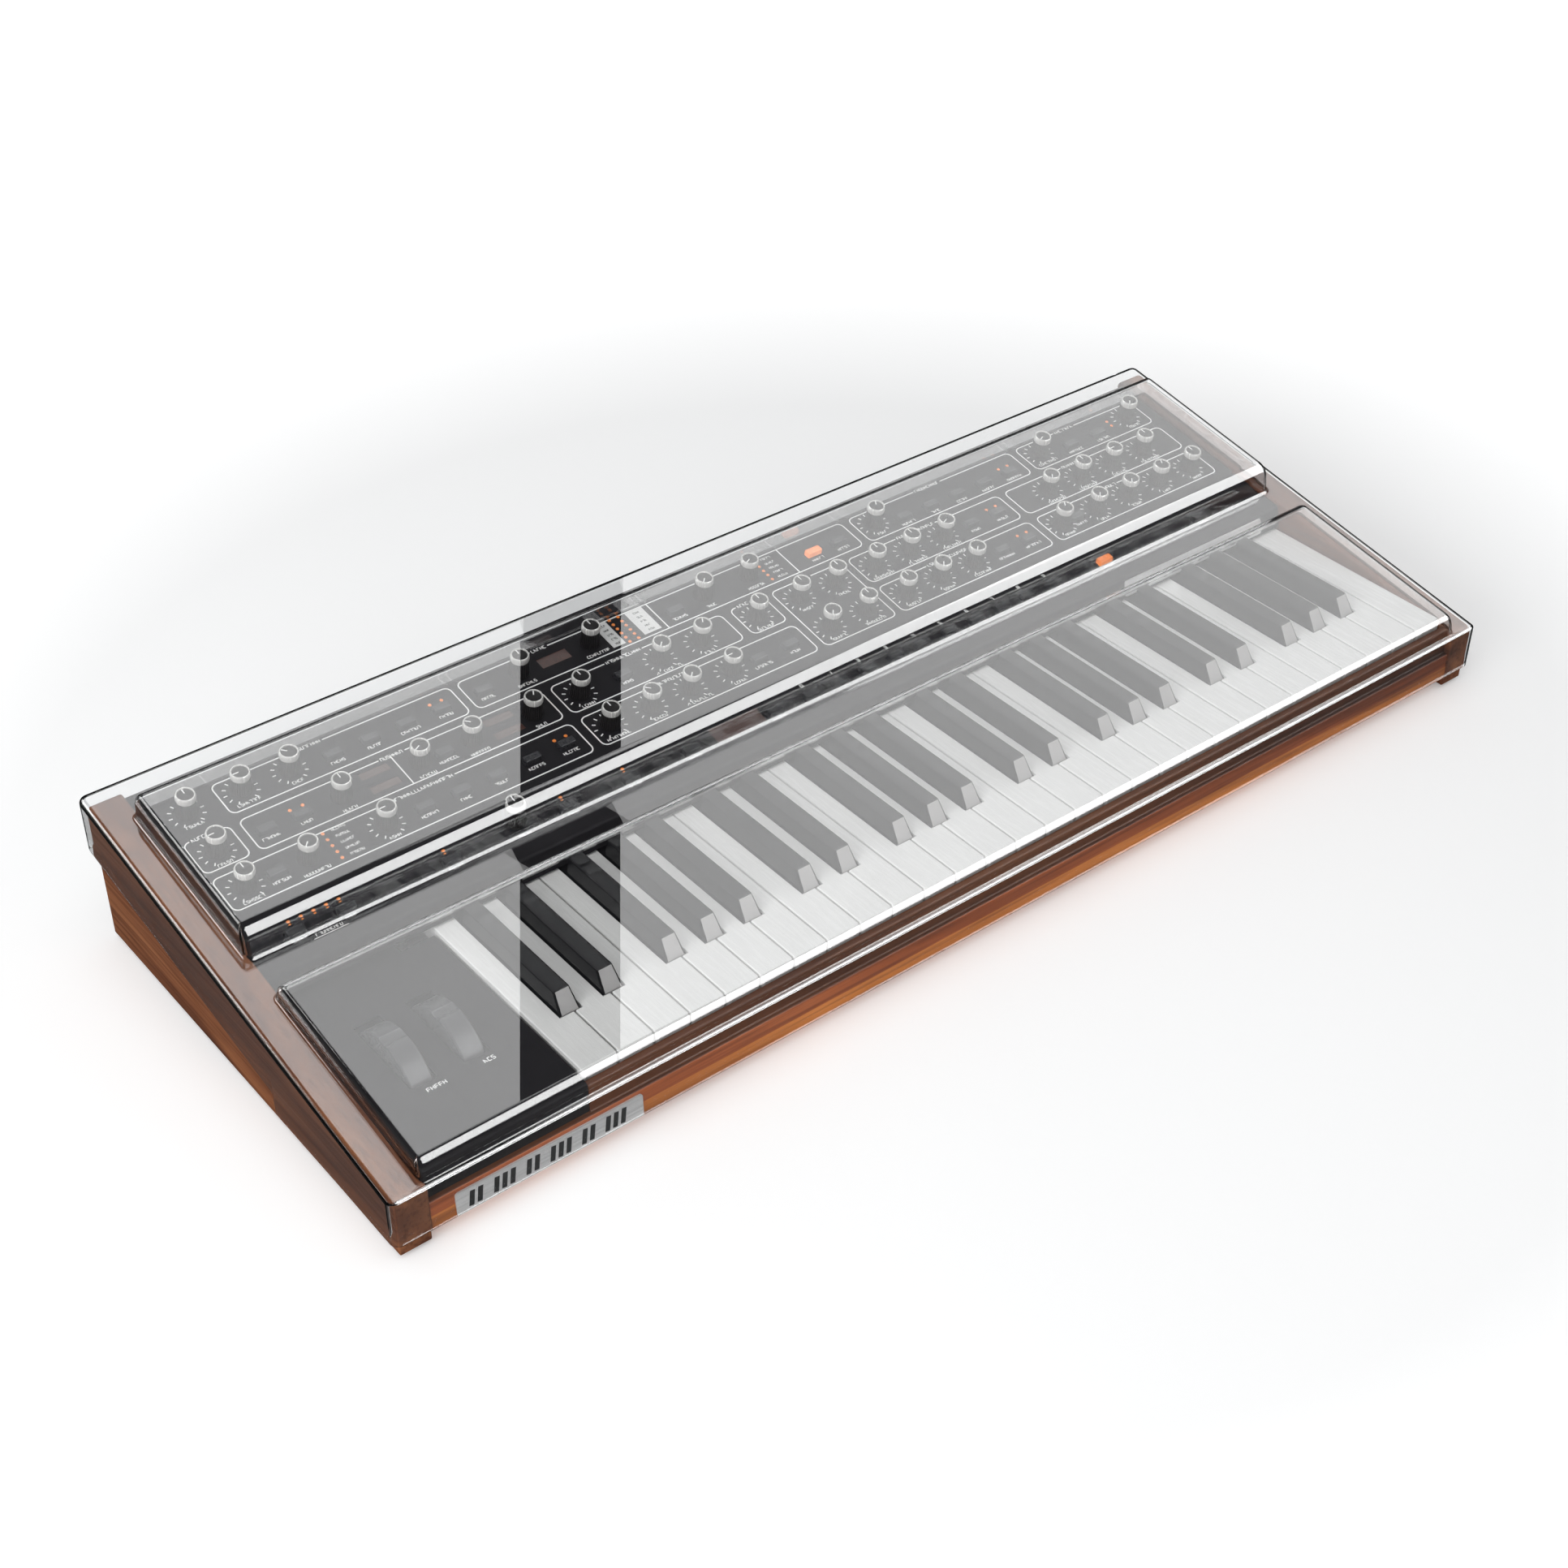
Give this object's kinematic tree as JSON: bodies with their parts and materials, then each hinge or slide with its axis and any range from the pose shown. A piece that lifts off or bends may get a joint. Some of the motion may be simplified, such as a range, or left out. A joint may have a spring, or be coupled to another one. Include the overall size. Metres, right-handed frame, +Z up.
{
  "type": "synthesizer",
  "caption": "Desk synthesizer with walnut end cheeks, sloped black panel of knobs and buttons, full-size keys, two wheels and a clear lift-off dust cover.",
  "frame": {"origin": "on the surface the feet stand on, below the middle of the whole object with its cover on", "axes": "+X along the keyboard towards the treble end, +Y away from the player, +Z up"},
  "size_m": [0.82, 0.321, 0.1112],
  "materials": {
    "walnut": "oiled walnut, satin",
    "case_steel": "black powder coat",
    "panel_black": "black satin paint with white legends",
    "foot_rubber": "black moulded rubber",
    "fixing_steel": "black zinc",
    "bracket_steel": "zinc plated",
    "felt_red": "pressed felt",
    "circuit_board": "green solder mask",
    "lamp_amber": "amber diffused lamps",
    "window_tint": "red-brown tinted window",
    "plate_metal": "fine brushed",
    "socket_black": "moulded black",
    "socket_metal": "tin plated",
    "knob_black": "ribbed black with bright ring",
    "button_black": "fine moulded",
    "key_white": "glossy white",
    "key_black": "glossy black",
    "wheel_black": "soft black",
    "rocker_black": "moulded black",
    "cover_clear": "clear vacuum-formed sheet"
  },
  "bodies": {
    "chassis": {"left_cheek": "walnut", "right_cheek": "walnut", "front_rail": "walnut", "bottom_pan": "case_steel", "rear_panel": "case_steel", "control_panel": "panel_black", "rubber_feet": "foot_rubber", "case_screws": "fixing_steel", "key_frame": "bracket_steel", "key_pivot_rod": "bracket_steel", "key_felts": "felt_red", "key_contact_board": "circuit_board", "wheel_panel": "panel_black", "wheel_bracket": "bracket_steel", "panel_leds": "lamp_amber", "display_windows": "window_tint", "panel_board": "circuit_board", "badges": "plate_metal", "main_board": "circuit_board", "voice_board": "circuit_board", "power_supply": "circuit_board", "audio_jacks": "socket_black", "midi_sockets": "socket_black", "usb_socket": "socket_metal", "power_inlet": "socket_black", "rocker_frame": "socket_black", "fixed_knobs": "knob_black"},
    "key_c": {"key_c": "key_white"},
    "key_c_sharp": {"key_c_sharp": "key_black"},
    "key_d": {"key_d": "key_white"},
    "key_d_sharp": {"key_d_sharp": "key_black"},
    "key_e": {"key_e": "key_white"},
    "key_f": {"key_f": "key_white"},
    "key_f_sharp": {"key_f_sharp": "key_black"},
    "key_g": {"key_g": "key_white"},
    "key_g_sharp": {"key_g_sharp": "key_black"},
    "key_a": {"key_a": "key_white"},
    "key_a_sharp": {"key_a_sharp": "key_black"},
    "key_b": {"key_b": "key_white"},
    "pitch_wheel": {"pitch_wheel": "wheel_black"},
    "mod_wheel": {"mod_wheel": "wheel_black"},
    "master_volume_knob": {"master_volume_knob": "knob_black"},
    "effect_select_knob": {"effect_select_knob": "knob_black"},
    "lfo_rate_knob": {"lfo_rate_knob": "knob_black"},
    "glide_knob": {"glide_knob": "knob_black"},
    "tempo_knob": {"tempo_knob": "knob_black"},
    "value_knob": {"value_knob": "knob_black"},
    "osc1_tune_knob": {"osc1_tune_knob": "knob_black"},
    "osc2_tune_knob": {"osc2_tune_knob": "knob_black"},
    "mixer_knob": {"mixer_knob": "knob_black"},
    "lowpass_cutoff_knob": {"lowpass_cutoff_knob": "knob_black"},
    "lowpass_resonance_knob": {"lowpass_resonance_knob": "knob_black"},
    "amp_release_knob": {"amp_release_knob": "knob_black"},
    "program_buttons": {"program_buttons": "button_black"},
    "performance_buttons": {"performance_buttons": "button_black"},
    "routing_buttons": {"routing_buttons": "button_black"},
    "clock_buttons": {"clock_buttons": "button_black"},
    "voice_buttons": {"voice_buttons": "button_black"},
    "power_rocker": {"power_rocker": "rocker_black"},
    "dust_cover": {"dust_cover": "cover_clear"}
  },
  "joints": [
    {"name": "key_c_press", "type": "hinge", "parent": "chassis", "child": "key_c", "pos_m": [0.049, 0.0375, 0.0434], "axis": [1, 0, 0], "range_deg": [0, 3.1], "stiffness_Nm_per_rad": 2.8, "springref_deg": -15.47},
    {"name": "key_c_sharp_press", "type": "hinge", "parent": "chassis", "child": "key_c_sharp", "pos_m": [0.049, 0.0375, 0.0434], "axis": [1, 0, 0], "range_deg": [0, 3.1], "stiffness_Nm_per_rad": 2.24, "springref_deg": -15.47},
    {"name": "key_d_press", "type": "hinge", "parent": "chassis", "child": "key_d", "pos_m": [0.049, 0.0375, 0.0434], "axis": [1, 0, 0], "range_deg": [0, 3.1], "stiffness_Nm_per_rad": 2.24, "springref_deg": -15.47},
    {"name": "key_d_sharp_press", "type": "hinge", "parent": "chassis", "child": "key_d_sharp", "pos_m": [0.049, 0.0375, 0.0434], "axis": [1, 0, 0], "range_deg": [0, 3.1], "stiffness_Nm_per_rad": 2.24, "springref_deg": -15.47},
    {"name": "key_e_press", "type": "hinge", "parent": "chassis", "child": "key_e", "pos_m": [0.049, 0.0375, 0.0434], "axis": [1, 0, 0], "range_deg": [0, 3.1], "stiffness_Nm_per_rad": 2.24, "springref_deg": -15.47},
    {"name": "key_f_press", "type": "hinge", "parent": "chassis", "child": "key_f", "pos_m": [0.049, 0.0375, 0.0434], "axis": [1, 0, 0], "range_deg": [0, 3.1], "stiffness_Nm_per_rad": 2.24, "springref_deg": -15.47},
    {"name": "key_f_sharp_press", "type": "hinge", "parent": "chassis", "child": "key_f_sharp", "pos_m": [0.049, 0.0375, 0.0434], "axis": [1, 0, 0], "range_deg": [0, 3.1], "stiffness_Nm_per_rad": 2.24, "springref_deg": -15.47},
    {"name": "key_g_press", "type": "hinge", "parent": "chassis", "child": "key_g", "pos_m": [0.049, 0.0375, 0.0434], "axis": [1, 0, 0], "range_deg": [0, 3.1], "stiffness_Nm_per_rad": 2.24, "springref_deg": -15.47},
    {"name": "key_g_sharp_press", "type": "hinge", "parent": "chassis", "child": "key_g_sharp", "pos_m": [0.049, 0.0375, 0.0434], "axis": [1, 0, 0], "range_deg": [0, 3.1], "stiffness_Nm_per_rad": 2.24, "springref_deg": -15.47},
    {"name": "key_a_press", "type": "hinge", "parent": "chassis", "child": "key_a", "pos_m": [0.049, 0.0375, 0.0434], "axis": [1, 0, 0], "range_deg": [0, 3.1], "stiffness_Nm_per_rad": 2.24, "springref_deg": -15.47},
    {"name": "key_a_sharp_press", "type": "hinge", "parent": "chassis", "child": "key_a_sharp", "pos_m": [0.049, 0.0375, 0.0434], "axis": [1, 0, 0], "range_deg": [0, 3.1], "stiffness_Nm_per_rad": 2.24, "springref_deg": -15.47},
    {"name": "key_b_press", "type": "hinge", "parent": "chassis", "child": "key_b", "pos_m": [0.049, 0.0375, 0.0434], "axis": [1, 0, 0], "range_deg": [0, 3.1], "stiffness_Nm_per_rad": 2.24, "springref_deg": -15.47},
    {"name": "pitch_bend", "type": "hinge", "parent": "chassis", "child": "pitch_wheel", "pos_m": [-0.3537, -0.074, 0.027], "axis": [1, 0, 0], "range_deg": [-35, 35], "stiffness_Nm_per_rad": 0.05},
    {"name": "modulation", "type": "hinge", "parent": "chassis", "child": "mod_wheel", "pos_m": [-0.322, -0.074, 0.027], "axis": [1, 0, 0], "range_deg": [-35, 35]},
    {"name": "master_volume_turn", "type": "hinge", "parent": "chassis", "child": "master_volume_knob", "pos_m": [-0.3642, 0.1209, 0.08766], "axis": [0, -0.1736, 0.9848], "range_deg": [-145, 145]},
    {"name": "effect_select_turn", "type": "hinge", "parent": "chassis", "child": "effect_select_knob", "pos_m": [-0.2862, 0.08781, 0.08182], "axis": [0, -0.1736, 0.9848], "continuous": true},
    {"name": "lfo_rate_turn", "type": "hinge", "parent": "chassis", "child": "lfo_rate_knob", "pos_m": [-0.3642, 0.05728, 0.07644], "axis": [0, -0.1736, 0.9848], "range_deg": [-145, 145]},
    {"name": "glide_turn", "type": "hinge", "parent": "chassis", "child": "glide_knob", "pos_m": [-0.214, 0.0236, 0.0705], "axis": [0, -0.1736, 0.9848], "range_deg": [-145, 145]},
    {"name": "tempo_turn", "type": "hinge", "parent": "chassis", "child": "tempo_knob", "pos_m": [-0.1449, 0.1209, 0.08766], "axis": [0, -0.1736, 0.9848], "continuous": true},
    {"name": "value_turn", "type": "hinge", "parent": "chassis", "child": "value_knob", "pos_m": [-0.0935, 0.1209, 0.08766], "axis": [0, -0.1736, 0.9848], "continuous": true},
    {"name": "osc1_tune_turn", "type": "hinge", "parent": "chassis", "child": "osc1_tune_knob", "pos_m": [-0.124, 0.08781, 0.08182], "axis": [0, -0.1736, 0.9848], "range_deg": [-145, 145]},
    {"name": "osc2_tune_turn", "type": "hinge", "parent": "chassis", "child": "osc2_tune_knob", "pos_m": [-0.124, 0.05728, 0.07644], "axis": [0, -0.1736, 0.9848], "range_deg": [-145, 145]},
    {"name": "mixer_turn", "type": "hinge", "parent": "chassis", "child": "mixer_knob", "pos_m": [0.0435, 0.08781, 0.08182], "axis": [0, -0.1736, 0.9848], "range_deg": [-145, 145]},
    {"name": "lowpass_cutoff_turn", "type": "hinge", "parent": "chassis", "child": "lowpass_cutoff_knob", "pos_m": [0.1056, 0.08781, 0.08182], "axis": [0, -0.1736, 0.9848], "range_deg": [-145, 145]},
    {"name": "lowpass_resonance_turn", "type": "hinge", "parent": "chassis", "child": "lowpass_resonance_knob", "pos_m": [0.1346, 0.08781, 0.08182], "axis": [0, -0.1736, 0.9848], "range_deg": [-145, 145]},
    {"name": "amp_release_turn", "type": "hinge", "parent": "chassis", "child": "amp_release_knob", "pos_m": [0.3617, 0.05728, 0.07644], "axis": [0, -0.1736, 0.9848], "range_deg": [-145, 145]},
    {"name": "program_buttons_press", "type": "slide", "parent": "chassis", "child": "program_buttons", "axis": [0, 0.1736, -0.9848], "range_m": [0, 0.0008], "stiffness_N_per_m": 5600, "springref_m": -0.0006},
    {"name": "performance_buttons_press", "type": "slide", "parent": "chassis", "child": "performance_buttons", "axis": [0, 0.1736, -0.9848], "range_m": [0, 0.0008], "stiffness_N_per_m": 2800, "springref_m": -0.0006},
    {"name": "routing_buttons_press", "type": "slide", "parent": "chassis", "child": "routing_buttons", "axis": [0, 0.1736, -0.9848], "range_m": [0, 0.0008], "stiffness_N_per_m": 5200, "springref_m": -0.0006},
    {"name": "clock_buttons_press", "type": "slide", "parent": "chassis", "child": "clock_buttons", "axis": [0, 0.1736, -0.9848], "range_m": [0, 0.0008], "stiffness_N_per_m": 3600, "springref_m": -0.0006},
    {"name": "voice_buttons_press", "type": "slide", "parent": "chassis", "child": "voice_buttons", "axis": [0, 0.1736, -0.9848], "range_m": [0, 0.0008], "stiffness_N_per_m": 3200, "springref_m": -0.0006},
    {"name": "power_tip", "type": "hinge", "parent": "chassis", "child": "power_rocker", "pos_m": [0.278, 0.1469, 0.037], "axis": [1, 0, 0], "range_deg": [0, 16]},
    {"name": "cover_lift", "type": "slide", "parent": "chassis", "child": "dust_cover", "axis": [0, 0, 1], "range_m": [0, 0.15]}
  ]
}
